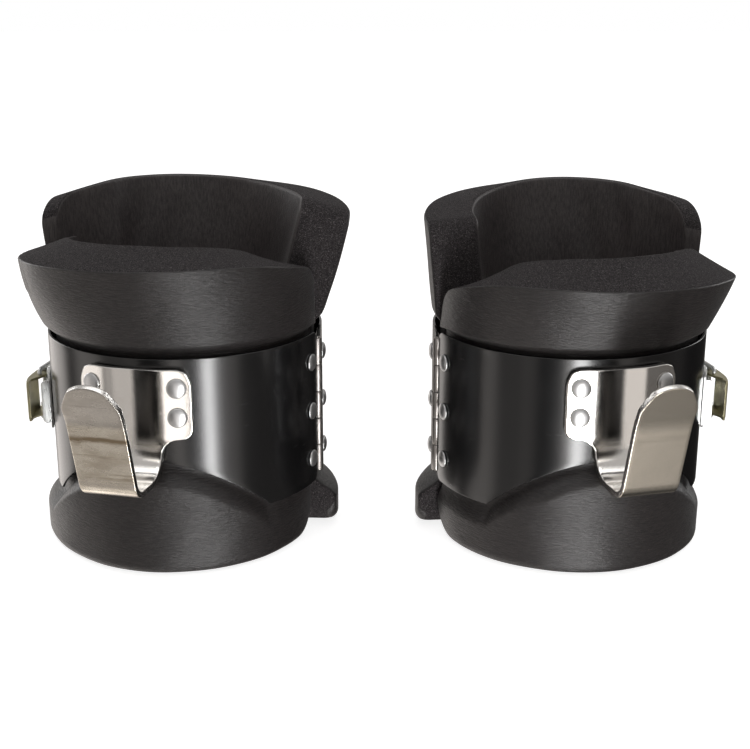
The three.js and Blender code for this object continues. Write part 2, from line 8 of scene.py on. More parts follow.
import bmesh
import bpy
import numpy as np
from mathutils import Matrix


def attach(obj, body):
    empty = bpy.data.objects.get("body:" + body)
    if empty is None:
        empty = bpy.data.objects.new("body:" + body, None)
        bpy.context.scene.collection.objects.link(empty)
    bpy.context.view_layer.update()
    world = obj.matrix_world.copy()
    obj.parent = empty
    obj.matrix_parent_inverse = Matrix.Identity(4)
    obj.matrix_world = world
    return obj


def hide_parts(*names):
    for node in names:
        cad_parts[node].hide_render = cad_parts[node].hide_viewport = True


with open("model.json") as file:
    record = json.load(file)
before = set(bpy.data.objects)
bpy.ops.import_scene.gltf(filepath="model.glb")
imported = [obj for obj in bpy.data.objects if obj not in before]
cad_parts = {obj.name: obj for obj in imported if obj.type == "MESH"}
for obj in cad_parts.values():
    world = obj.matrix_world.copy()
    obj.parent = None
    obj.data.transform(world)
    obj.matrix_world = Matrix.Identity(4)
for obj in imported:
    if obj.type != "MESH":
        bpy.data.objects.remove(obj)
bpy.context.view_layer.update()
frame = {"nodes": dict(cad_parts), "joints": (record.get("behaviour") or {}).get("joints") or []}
mm = 0.001
print("frame loaded:", len(frame["nodes"]), "nodes")

cuff = dict(radius=80, wall=1.5, bottom=34, top=125, archTop=67, archRadius=77, corner=6, gap=0.3)
pivots = dict(hinge=(79.6, 0), lever=(-86, -14))
cuffRadius, gap = cuff["radius"], cuff["gap"]  # gap is kept by pieces that touch
shellInside = cuffRadius - cuff["wall"]
plateInside = cuffRadius + gap


# one boot's own frame, found from two of its joints
class Boot:
    def __init__(self, name, side):
        self.name = name
        self.side = side  # -1 for the mirrored boot
        at = {joint["name"]: joint["pos_m"] for joint in frame["joints"] if "pos_m" in joint}
        hingeAt, leverAt = (np.array(at[name + end][:2]) for end in ("_cuff_hinge", "_latch_lever_pivot"))
        hingeOwn, leverOwn = (np.array(pivots[key]) * (side, 1) for key in ("hinge", "lever"))
        there, own = leverAt - hingeAt, leverOwn - hingeOwn
        angle = math.atan2(there[1], there[0]) - math.atan2(own[1], own[0])
        c, s = math.cos(angle), math.sin(angle)
        self.turn = np.array([[c, -s], [s, c]])
        self.axis = hingeAt - self.turn @ (hingeOwn * mm)

    def place(self, points):
        # millimetres in the boot's frame to metres in the row's frame
        points = np.asarray(points, float)
        flat = points[..., :2] * (self.side * mm, mm)
        level = flat @ self.turn.T + self.axis
        return np.concatenate([level, points[..., 2:] * mm], axis=-1)


boots = [Boot("left", 1), Boot("right", -1)]
halves = "front", "rear"


def added(name, data):
    # a new object in the scene
    thing = bpy.data.objects.new(name, data)
    bpy.context.collection.objects.link(thing)
    return thing


# meshes from grids of points
def gridQuads(rows, cols, first, closed):
    # each cell of a grid of points becomes a face; a closed grid joins its last column to its first
    r, c = np.meshgrid(np.arange(rows - 1), np.arange(cols if closed else cols - 1), indexing="ij")
    n = (c + 1) % cols
    cells = [r * cols + c, r * cols + n, (r + 1) * cols + n, (r + 1) * cols + c]
    return first + np.stack(cells, axis=-1).reshape(-1, 4)


def addPiece(boot, name, grids, looks, body, node, material=None):
    # grids of points, each open or closed into a ring, are welded where they meet into one skin
    points, quads, marks, first = [], [], [], 0
    for (grid, closed), mark in zip(grids, material or [0] * len(grids)):
        rows, cols = grid.shape[:2]
        faces = gridQuads(rows, cols, first, closed)
        points.append(boot.place(grid).reshape(-1, 3))
        quads.append(faces)
        marks.append(np.full(len(faces), mark))
        first += rows * cols
    points, quads, marks = (np.concatenate(part) for part in (points, quads, marks))
    name = boot.name + "_" + name
    mesh = bpy.data.meshes.new(name)
    mesh.from_pydata(points.tolist(), [], quads.tolist())
    mesh.polygons.foreach_set("use_smooth", np.ones(len(quads), dtype=bool))
    mesh.polygons.foreach_set("material_index", marks.astype(np.int32))
    for look in looks:
        mesh.materials.append(finishes[look][0])
    weld(mesh)
    piece = added(name, mesh)
    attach(piece, boot.name + "_" + body)
    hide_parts(boot.name + "_" + node)
    return piece


def weld(mesh):
    # doubles merged at seams and poles, then faces turned outwards
    work = bmesh.new()
    work.from_mesh(mesh)
    bmesh.ops.remove_doubles(work, verts=work.verts, dist=2e-6)
    bmesh.ops.dissolve_degenerate(work, edges=work.edges, dist=1e-7)
    bmesh.ops.recalc_face_normals(work, faces=work.faces)
    work.to_mesh(mesh)
    work.free()


def smoothStep(x, low, high):
    t = np.clip((x - low) / (high - low), 0, 1)
    return t * t * (3 - 2 * t)


def lerp(a, b, t):
    return a + (b - a) * t


def spacing(length, edge, step):
    # shares of a length from 0 to 1: fine within the rounded edge at both ends, even between them
    lead = edge * np.array([0, 0.25, 0.5, 0.75])
    middle = np.linspace(edge, length - edge, max(int(round((length - 2 * edge) / step)), 2) + 1)
    return np.concatenate([lead, middle, (length - lead)[::-1]]) / length


def boxFaces(a, b, c):
    # the six faces of a block, each as grids of the three shares along its sides
    def face(u, v, fixed, order):
        grids = list(np.meshgrid(u, v, indexing="ij"))
        grids.insert(order, np.full(grids[0].shape, float(fixed)))
        return grids
    pairs = [(b, c, 0), (a, c, 1), (a, b, 2)]
    return [face(u, v, fixed, order) for u, v, order in pairs for fixed in (0, 1)]


def block(sizes, shares, edge, toPoint):
    # a block with rounded edges, bent into shape: toPoint takes the three shares along its sides
    faces = [roundEdges(sides, sizes, edge) for sides in boxFaces(*shares)]
    return [(toPoint(*face), False) for face in faces]


def roundEdges(sides, sizes, edge):
    # a point is pulled back towards the block inset by the edge radius, to that distance from it
    at = [side * size for side, size in zip(sides, sizes)]
    inner = [np.clip(p, edge, size - edge) for p, size in zip(at, sizes)]
    off = [p - q for p, q in zip(at, inner)]
    far = np.sqrt(sum(d * d for d in off))
    return [(q + edge * d / far) / size for q, d, size in zip(inner, off, sizes)]


def cornerDrop(radius, distance):
    # how far a quarter-round corner takes an edge back, at a distance from the end
    inside = np.clip(radius - distance, 0, radius)
    return radius - np.sqrt(np.maximum(radius**2 - inside**2, 0))


def shellEdge(turn):
    # the shell's lower edge: level, and lifted where the arch is cut out
    across = cuffRadius * np.sin(np.radians(turn))
    rise = np.sqrt(np.maximum(cuff["archRadius"] ** 2 - across**2, 0))
    return np.maximum(cuff["bottom"], cuff["archTop"] - cuff["archRadius"] + rise)


def around(turn, radius, height):
    angle = np.radians(turn)
    return np.stack([radius * np.sin(angle), -radius * np.cos(angle), height], axis=-1)


def curvedPlate(turns, low, high, outside, thickness, edge, step, rows, corner=0.0):
    # a sheet bent round the cuff axis, between two turns and two heights, with round corners
    length = math.radians(abs(turns[1] - turns[0])) * outside
    height = high - cuff["bottom"] + 1

    def toPoint(s, h, t):
        drop = cornerDrop(corner, np.clip(np.minimum(s * length, length - s * length), 0, None))
        return around(lerp(*turns, s), outside - t * thickness, lerp(low + drop, high - drop, h))
    shares = spacing(length, edge, step), rows, spacing(thickness, edge, thickness)
    return block((length, height, thickness), shares, edge, toPoint)


def lathe(profile, sides, at, axis):
    # a profile of (radius, distance along the axis) turned round an axis through a point
    profile = np.array(profile, float)
    swing = np.linspace(0, 2 * np.pi, sides, endpoint=False)
    axis = np.array(axis, float) / np.linalg.norm(axis)
    first = np.cross(axis, (0, 0, 1) if abs(axis[2]) < 0.9 else (1, 0, 0))
    first = first / np.linalg.norm(first)
    second = np.cross(axis, first)
    spoke = np.cos(swing)[:, None] * first + np.sin(swing)[:, None] * second
    grid = profile[:, :1, None] * spoke[None] + profile[:, 1:, None] * axis
    return [(grid + np.array(at, float), True)]


def tube(path, radius, sides=20):
    # a round wire: a circle carried along a path that lies in a plane of constant x
    path = np.array(path, float)
    along = np.gradient(path, axis=0)
    along = along / np.linalg.norm(along, axis=1, keepdims=True)
    flat = np.tile([1.0, 0, 0], (len(path), 1))
    rise = np.cross(along, flat)
    swing = np.linspace(0, 2 * np.pi, sides, endpoint=False)[None, :, None]
    grid = path[:, None] + radius * (np.cos(swing) * flat[:, None] + np.sin(swing) * rise[:, None])
    ends = [np.tile(grid[i].mean(axis=0), (1, sides, 1)) for i in (0, -1)]
    return [(np.concatenate([ends[0], grid, ends[1]]), True)]


def plateAlong(start, end, low, high, thickness, edge, toPoint):
    # a flat plate: its outline is two edges between two stations. toPoint turns (station, across,
    # depth) into the boot's frame
    length, width = end - start, 12

    def onPlate(s, h, t):
        at = start + s * length
        return toPoint(at, lerp(low(at), high(at), h), t * thickness)
    shares = spacing(length, edge, 0.8), spacing(width, edge, 1.5), spacing(thickness, edge, thickness)
    return block((length, width, thickness), shares, edge, onPlate)


# shader maths: a socket that takes Python's operators
class Value:
    def __init__(self, tree, socket):
        self.tree = tree
        self.socket = socket

    def math(self, operation, *others):
        feed = {i: other for i, other in enumerate(others, 1)}
        return self.tree.add("ShaderNodeMath", dict(operation=operation), {0: self, **feed})

    def __add__(self, other):
        return self.math("ADD", other)

    def __sub__(self, other):
        return self.math("SUBTRACT", other)

    def __rsub__(self, other):
        return self.tree.add("ShaderNodeMath", dict(operation="SUBTRACT"), {0: other, 1: self})

    def __mul__(self, other):
        return self.math("MULTIPLY", other)

    def absolute(self):
        return self.math("ABSOLUTE")

    def clamped(self):
        return self.tree.add("ShaderNodeClamp", {}, {"Value": self})

    def between(self, low, high):
        return self.tree.add("ShaderNodeMapRange", dict(interpolation_type="SMOOTHSTEP"),
                             {"Value": self, "From Min": low, "From Max": high})

    __radd__ = __add__
    __rmul__ = __mul__


class Finish:
    def __init__(self, name, **settings):
        self.material = bpy.data.materials.new(name)
        self.material.use_nodes = True
        tree = self.material.node_tree
        self.nodes, self.links = tree.nodes, tree.links
        self.shader = self.nodes["Principled BSDF"]
        self.spot = self.add("ShaderNodeTexCoord", {}, {}, "Object")
        self.set(**settings)

    def add(self, kind, settings, feeds, output=0):
        node = self.nodes.new(kind)
        for key, value in settings.items():
            setattr(node, key, value)
        for key, value in feeds.items():
            if isinstance(value, Value):
                self.links.new(value.socket, node.inputs[key])
            else:
                node.inputs[key].default_value = value
        return Value(self, node.outputs[output])

    def set(self, **feeds):
        for key, value in feeds.items():
            socket = self.shader.inputs[key.replace("_", " ")]
            if isinstance(value, Value):
                self.links.new(value.socket, socket)
            else:
                socket.default_value = (*value, 1) if isinstance(value, tuple) else value

    def stretched(self, x, y, z):
        return self.add("ShaderNodeMapping", {}, {"Vector": self.spot, "Scale": (x, y, z)})

    def noise(self, vector, scale, detail=3, roughness=0.5):
        feeds = {"Vector": vector, "Scale": scale, "Detail": detail, "Roughness": roughness}
        return self.add("ShaderNodeTexNoise", {}, feeds)

    def cells(self, vector, scale, feature="F1"):
        return self.add("ShaderNodeTexVoronoi", dict(feature=feature), {"Vector": vector, "Scale": scale})

    def mixed(self, factor, a, b):
        a = a if isinstance(a, Value) else (*a, 1)
        b = b if isinstance(b, Value) else (*b, 1)
        return self.add("ShaderNodeMix", dict(data_type="RGBA"), {0: factor, 6: a, 7: b}, 2)

    def bump(self, height, distance, strength=1.0, under=None):
        feeds = {"Height": height, "Distance": distance, "Strength": strength}
        if under is not None:
            feeds["Normal"] = under
        return self.add("ShaderNodeBump", {}, feeds)


# finishes
paintLook = dict(dark=(0.0020, 0.0020, 0.0023), dust=(0.009, 0.0086, 0.0088), peel=0.00003)


def glossBlack():
    paint = Finish("gloss black paint", Specular_IOR_Level=0.55, Coat_Roughness=0.2, Coat_Weight=0.35)
    mottle = paint.noise(paint.spot, 40, 4)
    peel = paint.noise(paint.spot, 900, 2)
    scuffs = paint.noise(paint.stretched(60, 60, 500), 1, 5, 0.7)
    dust = scuffs.between(0.56, 0.8) * mottle.between(0.4, 0.75)
    paint.set(Base_Color=paint.mixed(dust, paintLook["dark"], paintLook["dust"]))
    paint.set(Roughness=mottle * 0.08 + dust * 0.12 + 0.20)
    paint.set(Normal=paint.bump(peel, paintLook["peel"], 0.35))
    return paint.material


foamLook = dict(
    skin=(0.0052, 0.0040, 0.0042), light=(0.0165, 0.0138, 0.0136), cut=(0.0032, 0.0026, 0.0028),
    # inside is the painted light on the inner faces: the same skin made that many times paler
    cell=(0.215, 0.190, 0.197), grain=1600, inside=2.6,
)


def foamSkin(name, scaleLevel, scaleUpright, depth, pale=1.0):
    # a moulded skin with fine wrinkles that run one way
    foam = Finish(name, Specular_IOR_Level=0.5, Sheen_Weight=0.06, Sheen_Roughness=0.4)
    drawn = foam.stretched(scaleLevel, scaleLevel, scaleUpright)
    wrinkles = foam.noise(drawn, 1, 3, 0.6)
    patches = foam.noise(foam.spot, 24, 3)
    dots = foam.noise(foam.spot, 1500, 2, 0.6)
    tone = (wrinkles * 0.55 + patches * 0.2 + dots * 0.25).between(0.38, 0.62)
    # pale above 1 is painted light: the same skin made paler
    dark, light = (tuple(c * pale for c in foamLook[key]) for key in ("skin", "light"))
    foam.set(Base_Color=foam.mixed(tone, dark, light))
    foam.set(Roughness=0.46 - tone * 0.08)
    shallow = foam.bump(wrinkles, depth, 0.6)
    foam.set(Normal=foam.bump(dots, 0.00012, 0.3, shallow))
    return foam.material


def foamCut():
    # open cells on a sawn face
    foam = Finish("cut foam", Specular_IOR_Level=0.25, Roughness=0.82)
    grain = foamLook["grain"]
    walls = foam.cells(foam.spot, grain, "DISTANCE_TO_EDGE").between(0.0, 0.22)
    speckle = foam.noise(foam.spot, grain, 2, 0.75).between(0.46, 0.74)
    coarse = foam.noise(foam.spot, grain * 0.4, 2, 0.6).between(0.35, 0.7)
    tone = speckle * speckle * 0.75 + (1 - walls) * 0.14 + coarse * 0.08
    foam.set(Base_Color=foam.mixed(tone.clamped(), foamLook["cut"], foamLook["cell"]))
    foam.set(Normal=foam.bump(speckle + (1 - walls) * 0.5, 0.0005, 0.9))
    return foam.material


metalLook = dict(
    chrome=(0.82, 0.80, 0.77), satin=(0.84, 0.78, 0.67), haze=(0.55, 0.51, 0.46),
    stain=(0.30, 0.235, 0.16), grey=(0.33, 0.32, 0.315), steel=(0.60, 0.60, 0.60),
    knuckle=(0.36, 0.34, 0.325), zinc=(0.66, 0.67, 0.66), olive=(0.42, 0.39, 0.25),
    # the last colour is near black, for the dark reflection painted on the plate
    dark=(0.07, 0.062, 0.06), painted_dark_reflection=(0.028, 0.028, 0.029),
)
# heights in metres and places across the hook in millimetres, each from where a mark begins to
# where it is full
plateMarks = dict(
    upper=(0.1065, 0.1105), rolledAt=0.0995, rolled=(0.0002, 0.0030), foot=(0.064, 0.074),
    # these marks bound the dark reflection painted down the plate's middle, and its ragged sides
    paintedReflectionStart=(-1.0, 3.0), paintedReflectionEnd=(11.5, 14.5), paintedReflectionFoot=(75, 84), ragged=3.0,
)


def chromePlate(name, stained, tint="chrome", heavy=1.0):
    # plated strip with a fine grain. Stained, it is satin with brown lines across it; otherwise it
    # is bright, with a painted reflection: a dark band down the middle of the hook
    chrome = Finish(name, Metallic=1.0)
    speck = chrome.noise(chrome.spot, 1500, 3, 0.75)
    haze = chrome.noise(chrome.spot, 60, 4, 0.6)
    pits = chrome.cells(chrome.spot, 520).between(0.0, 0.15)
    dirty = haze.between(0.42, 0.75) * speck.between(0.42, 0.68)
    colour = chrome.mixed(dirty * (0.8 * heavy), metalLook[tint], metalLook["haze"])
    if stained:
        height = chrome.add("ShaderNodeSeparateXYZ", {}, {0: chrome.spot}, "Z")
        lines = chrome.noise(chrome.stretched(16, 16, 230), 1, 3, 0.65)
        wash = chrome.noise(chrome.stretched(30, 30, 75), 1, 5, 0.65)
        cloud = wash.between(0.42, 0.66) * 0.65 + lines.between(0.55, 0.68) * 0.45
        upper = (height + wash * 0.010).between(*plateMarks["upper"])
        offLine = (height + wash * 0.008 - plateMarks["rolledAt"]).absolute()
        rolled = 1 - offLine.between(*plateMarks["rolled"])
        foot = (1 - height.between(*plateMarks["foot"])) * lines.between(0.45, 0.58) * 0.7
        stain = (cloud * 0.75 + rolled * 0.7).clamped() * heavy
        colour = chrome.mixed(stain, colour, metalLook["stain"])
        colour = chrome.mixed(foot * heavy, colour, metalLook["haze"])
        colour = chrome.mixed(upper * (0.6 * heavy), colour, metalLook["grey"])
        spots = (1 - pits) * speck.between(0.5, 0.7) * (0.8 * heavy)
        colour = chrome.mixed(spots, colour, metalLook["dark"])
        chrome.set(Roughness=0.24 + cloud * (0.12 * heavy))
    else:
        across = chrome.add("ShaderNodeAttribute", dict(attribute_name="across"), {}, "Fac")
        down = chrome.add("ShaderNodeAttribute", dict(attribute_name="height"), {}, "Fac")
        # painted reflection: a dark band with ragged sides down the plate's middle, put into the base colour
        ragged = across + (speck - 0.5) * plateMarks["ragged"]
        painted_dark_reflection = ragged.between(*plateMarks["paintedReflectionStart"]) * (1 - ragged.between(*plateMarks["paintedReflectionEnd"]))
        painted_dark_reflection = painted_dark_reflection * down.between(*plateMarks["paintedReflectionFoot"])
        colour = chrome.mixed(painted_dark_reflection * (0.98 - haze * 0.14), colour, metalLook["painted_dark_reflection"])
        colour = chrome.mixed((1 - pits) * 0.4 * speck.between(0.5, 0.7), colour, metalLook["dark"])
        chrome.set(Roughness=0.10 + dirty * 0.08)
    ripple = chrome.noise(chrome.spot, 70, 2)
    fine = chrome.bump(speck, 0.00005, 0.5)
    chrome.set(Base_Color=colour)
    chrome.set(Normal=chrome.bump(ripple, 0.00016, 0.3, fine))
    return chrome.material


def shearedEdge():
    # a sheared and plated edge: dark and torn, with bright spots, and a painted highlight on faces that turn
    # upwards, so the sides stay darker
    metal = Finish("sheared edge", Metallic=1.0)
    facing = metal.add("ShaderNodeNewGeometry", {}, {}, "Normal")
    painted_top_highlight = metal.add("ShaderNodeSeparateXYZ", {}, {0: facing}, "Z")
    torn = metal.noise(metal.spot, 900, 4, 0.75)
    pitted = metal.cells(metal.spot, 1100).between(0.1, 0.5)
    # faces that turn upwards are painted brighter: a painted highlight
    bright = (torn + painted_top_highlight * 0.2).between(0.47, 0.58) * (1 - pitted * 0.15)
    metal.set(Base_Color=metal.mixed(bright, metalLook["dark"], metalLook["chrome"]))
    metal.set(Roughness=0.42 - bright * 0.22)
    metal.set(Normal=metal.bump(torn, 0.00012, 0.5))
    return metal.material


def brushedMetal(name, tint, roughness, stain=0.25, relief=0.00003):
    # rolled or plated steel: fine drawn lines, cloudy patches and a few dark specks
    metal = Finish(name, Metallic=1.0)
    lines = metal.noise(metal.stretched(700, 700, 45), 1, 3, 0.6)
    cloud = metal.noise(metal.spot, 150, 3, 0.6)
    specks = metal.cells(metal.spot, 800).between(0.0, 0.14)
    dull = cloud.between(0.4, 0.7)
    dimmed = tuple(c * 0.55 for c in tint)
    colour = metal.mixed(dull * stain, tint, dimmed)
    colour = metal.mixed((1 - specks) * 0.5, colour, metalLook["dark"])
    metal.set(Base_Color=colour)
    metal.set(Roughness=lines * 0.12 + dull * 0.08 + (roughness - 0.08))
    metal.set(Normal=metal.bump(lines + cloud * 0.5, relief, 0.5))
    return metal.material


# each finish, with the record's material slot that it belongs to
finishes = dict(
    paint=(glossBlack(), "black_paint"),
    level=(foamSkin("foam skin", 230, 1300, 0.0008), "foam"),
    # the inner faces: the same foam with painted light, 2.6 times paler, and wrinkles that run upright
    upright=(foamSkin("foam skin inside", 1250, 130, 0.0005, foamLook["inside"]), "foam"),
    cut=(foamCut(), "foam"),
    chrome=(chromePlate("chrome plate", False), "chrome"),
    tongue=(chromePlate("stained chrome plate", True, "satin"), "chrome"),
    satin=(chromePlate("satin chrome plate", True, "satin", 0.12), "chrome"),
    edge=(shearedEdge(), "chrome"),
    steel=(brushedMetal("hinge steel", metalLook["knuckle"], 0.34), "nickelled_steel"),
    rivet=(brushedMetal("rivet steel", metalLook["steel"], 0.36, 0.2), "nickelled_steel"),
    zinc=(brushedMetal("bright zinc", metalLook["zinc"], 0.30, 0.2, 0.000012), "bright_zinc"),
    olive=(brushedMetal("yellow zinc", metalLook["olive"], 0.34, 0.35), "passivated_zinc"),
)
print("finishes made:", len(finishes))

# foam pads. A shape's lists run from the latch end to the hinge end: top is the upper edge's
# height, topOut and bottomOut how far out the skin is, tilt how the cut top leans, in degrees
pads = dict(
    thickness=29.5, seated=24, seat=75.4, endTrim=1.12, rimSwell=4, edgeRun=14, lowerZone=0.38,
    upperZone=0.46, thinRun=42, wander=0.4, arc=262, climb=190, step=1.5, stepIn=2.0,
    ribFrom=-86, ribTo=-53, ribPitch=5.5, ribDepth=0.4,
    edges=dict(front=1.8, rear=3.0), footRound=dict(front=6, rear=7),
)
padShapes = {
    ("left", "front"): dict(
        top=(166, 172, 175, 174, 163), topOut=(91, 94, 92, 86, 79), bottomOut=(87, 86, 85, 80, 75),
        bulge=(1, 0.6, 0.2, 0.2, 0.4), topCorners=(3, 16), bottomCorners=(14, 20),
        tilt=(3, 3, 3, 3, 3), latchThin=2, seed=1.3,
    ),
    ("left", "rear"): dict(
        top=(193, 194.5, 195.5, 195, 192), topOut=(89, 91, 92, 93, 98), bottomOut=(86, 85, 85, 86, 89.5),
        bulge=(0.5, 0.3, 0.2, 0.2, 0.3), topCorners=(16, 12), bottomCorners=(14, 16),
        tilt=(10, 9, 4, 0, 0), latchThin=18, seed=2.2,
    ),
    ("right", "front"): dict(
        top=(155, 162, 165, 164, 150), topOut=(89, 96, 95, 87, 78), bottomOut=(79, 84, 85, 82, 79),
        bulge=(0.2, 0.2, 0.2, 0.2, 0.4), topCorners=(3, 20), bottomCorners=(14, 20),
        tilt=(6, 6, 6, 6, 6), latchThin=2, seed=4.1,
    ),
    ("right", "rear"): dict(
        top=(190, 193, 193.5, 191, 186), topOut=(83, 88, 92, 89, 85), bottomOut=(81, 85, 85, 86, 90),
        bulge=(0.5, 0.3, 0.2, 0.2, 0.3), topCorners=(20, 10), bottomCorners=(14, 14),
        tilt=(10, 9, 4, 0, 0), latchThin=17, seed=5.6,
    ),
}


def splineThrough(values, share):
    # a smooth curve through evenly spaced values, each stretch bent by its neighbours
    knots = np.array(values, float)
    at = np.clip(share, 0, 1) * (len(knots) - 1)
    i = np.minimum(at.astype(int), len(knots) - 2)
    t = at - i
    before, start = knots[np.maximum(i - 1, 0)], knots[i]
    end, after = knots[i + 1], knots[np.minimum(i + 2, len(knots) - 1)]
    v0, v1 = (end - before) / 2, (after - start) / 2
    return ((2 * start - 2 * end + v0 + v1) * t**3
            + (-3 * start + 3 * end - 2 * v0 - v1) * t**2 + v0 * t + start)


def padSurface(shape, half, s, h, t):
    # swing runs from the latch to the hinge; h climbs the outer face in three zones, below the
    # shell, behind it and above it; t goes inwards through the foam
    swing = lerp(-90 + pads["endTrim"], 90 - pads["endTrim"], s)
    turn = swing if half == "front" else 180 - swing
    fromEnd = cuffRadius * np.radians(90 - pads["endTrim"] - np.abs(swing))
    fromEnd = np.maximum(fromEnd, 0)
    hingeEnd = s > 0.5
    topCorner = np.where(hingeEnd, shape["topCorners"][1], shape["topCorners"][0])
    bottomCorner = np.where(hingeEnd, shape["bottomCorners"][1], shape["bottomCorners"][0])
    top = splineThrough(shape["top"], s) - cornerDrop(topCorner, fromEnd)
    bottom = cornerDrop(bottomCorner, fromEnd)
    edge = shellEdge(turn) - 2 * gap
    rim = cuff["top"] + 2 * gap
    lower, upper = pads["lowerZone"], pads["upperZone"]
    below, behind = lerp(bottom, edge, h / lower), lerp(edge, rim, (h - lower) / (upper - lower))
    above = lerp(rim, top, (h - upper) / (1 - upper))
    z = np.where(h < lower, below, np.where(h < upper, behind, above))
    up = np.clip((z - rim) / (top - rim), 0, 1)
    seat, rimSwell = pads["seat"], pads["rimSwell"]
    topOut, bottomOut = splineThrough(shape["topOut"], s), splineThrough(shape["bottomOut"], s)
    flare = up * (1 + splineThrough(shape["bulge"], s) * (1 - up))
    foot = (bottomOut - seat) * smoothStep(edge - z, 0, pads["edgeRun"])
    swell = foot + (rimSwell * smoothStep(up, 0, 0.14) + (topOut - seat - rimSwell) * flare)
    free = smoothStep(np.abs(swell), 0, rimSwell)
    latchThin = shape["latchThin"] * (1 - smoothStep(fromEnd, 0, pads["thinRun"]))
    thick = lerp(pads["seated"], pads["thickness"], free) - np.where(hingeEnd, 0, latchThin)
    tilt = np.radians(splineThrough(shape["tilt"], s))
    lean = up * (np.arctan2(topOut - cuffRadius, top - rim) + tilt)
    swell = swell + pads["wander"] * free * wander(swing, z, shape["seed"])
    swell = swell + ribbed(shape, swing, z, top, t)
    rounded = cornerDrop(pads["footRound"][half], z - bottom) * (1 - t) * (h < lower)
    inner = pads["wander"] * 1.6 * wander(swing * 0.8 + 40, z * 0.7, shape["seed"] + 3)
    depth = t * (thick + inner)
    radius = seat + swell - rounded - depth * np.cos(lean)
    return around(turn, radius, z + depth * np.sin(lean))


def wander(swing, z, seed):
    # slow swells and dents, a few waves laid over each other
    return (np.sin(swing * 0.061 + seed) * np.sin(z * 0.052 + seed * 2.1)
            + 0.6 * np.sin(swing * 0.13 + z * 0.06 + seed * 1.7)
            + 0.35 * np.sin(swing * 0.27 - z * 0.15 + seed * 0.6)) / 1.6


def ribbed(shape, swing, z, top, t):
    # small upright creases where the left boot's ear is pinched at the latch end
    if shape is not padShapes["left", "front"]:
        return 0 * swing
    start, stop = pads["ribFrom"], pads["ribTo"]
    near = (1 - smoothStep(swing, stop, stop + 5)) * smoothStep(swing, start, start + 4)
    high = smoothStep(z, top - 21, top - 17)
    wave = np.cos((swing + 90) * 2 * np.pi / pads["ribPitch"])
    return pads["ribDepth"] * near * high * (1 - t) * (0.4 + wave)


def foamPad(boot, half):
    shape = padShapes[boot.name, half]
    edge, step = pads["edges"][half], pads["step"]
    sizes = pads["arc"], pads["climb"], pads["thickness"]
    shares = [spacing(size, edge, every) for size, every in zip(sizes, (step, step, pads["stepIn"]))]

    def toPoint(s, h, t):
        return padSurface(shape, half, s, h, t)
    looks = ["cut", "level", "upright"]
    latchEnd = 2 if half == "rear" else 0
    piece = addPiece(boot, half + "_foam", block(sizes, shares, edge, toPoint), looks,
                     half + "_half", half + "_pad", [latchEnd, 0, 0, 0, 1, 2])


for boot, half in product(boots, halves):
    foamPad(boot, half)
print("foam pads made")

# half shells
shells = dict(edge=0.5, seam=0.5, hingeClear=3.2, step=1.5, rowStep=4, endStep=(0.5, 1.2, 2, 3, 4, 5, 6))


def halfShell(boot, half):
    # the lower edge follows the arch, and both edges turn into round corners at the ends
    reach = math.degrees(shells["hingeClear"] / cuffRadius)
    slit = math.degrees(shells["seam"] / cuffRadius)
    turns = (-90 + slit, 90 - reach) if half == "front" else (270 - slit, 90 + reach)
    length = math.radians(abs(turns[1] - turns[0])) * cuffRadius
    edge = shells["edge"]

    def toPoint(s, h, t):
        turn = lerp(*turns, s)
        drop = cornerDrop(cuff["corner"], np.minimum(s * length, length - s * length))
        height = lerp(shellEdge(turn) + drop, cuff["top"] - drop, h)
        return around(turn, cuffRadius - t * cuff["wall"], height)
    sizes = length, cuff["top"] - cuff["bottom"], cuff["wall"]
    rows, through = spacing(sizes[1], edge, shells["rowStep"]), spacing(sizes[2], edge, 1)
    grids = block(sizes, (shellColumns(turns, length), rows, through), edge, toPoint)
    addPiece(boot, half + "_cuff_shell", grids, ["paint"], half + "_half", half + "_shell")


def shellColumns(turns, length):
    # columns stand at the arch's two lower points, and closer together near the ends
    columns = spacing(length, shells["edge"], shells["step"])
    near = np.array(shells["endStep"]) / length
    columns = np.union1d(columns, np.concatenate([near, 1 - near]))
    drop = cuff["bottom"] - cuff["archTop"] + cuff["archRadius"]
    half = math.degrees(math.asin(math.sqrt(cuff["archRadius"] ** 2 - drop**2) / cuffRadius))
    centre = 0 if abs(turns[0]) < 91 else 180
    points = [(centre + side * half - turns[0]) / (turns[1] - turns[0]) for side in (-1, 1)]
    beside = [p + d / length for p in points for d in (-0.4, 0, 0.4)]
    return np.union1d(columns, beside)


for boot, half in product(boots, halves):
    halfShell(boot, half)
print("half shells made")

# bar hook
hook = dict(
    turn=-1.7, strip=3.4, top=121, earBottom=81, halfWidth=31.2, neck=16, flat=10, bendRadius=24,
    earAngle=16.8, topCorner=9.5, earCorner=5.5, fillet=7.5, bottom=58.8, heel=20, toe=12, floor=9.5,
    lean=15, tipLean=24, kink=104, tip=127, kinkRun=9, edge=0.7, samples=4000,
)
earAngle = math.radians(hook["earAngle"])


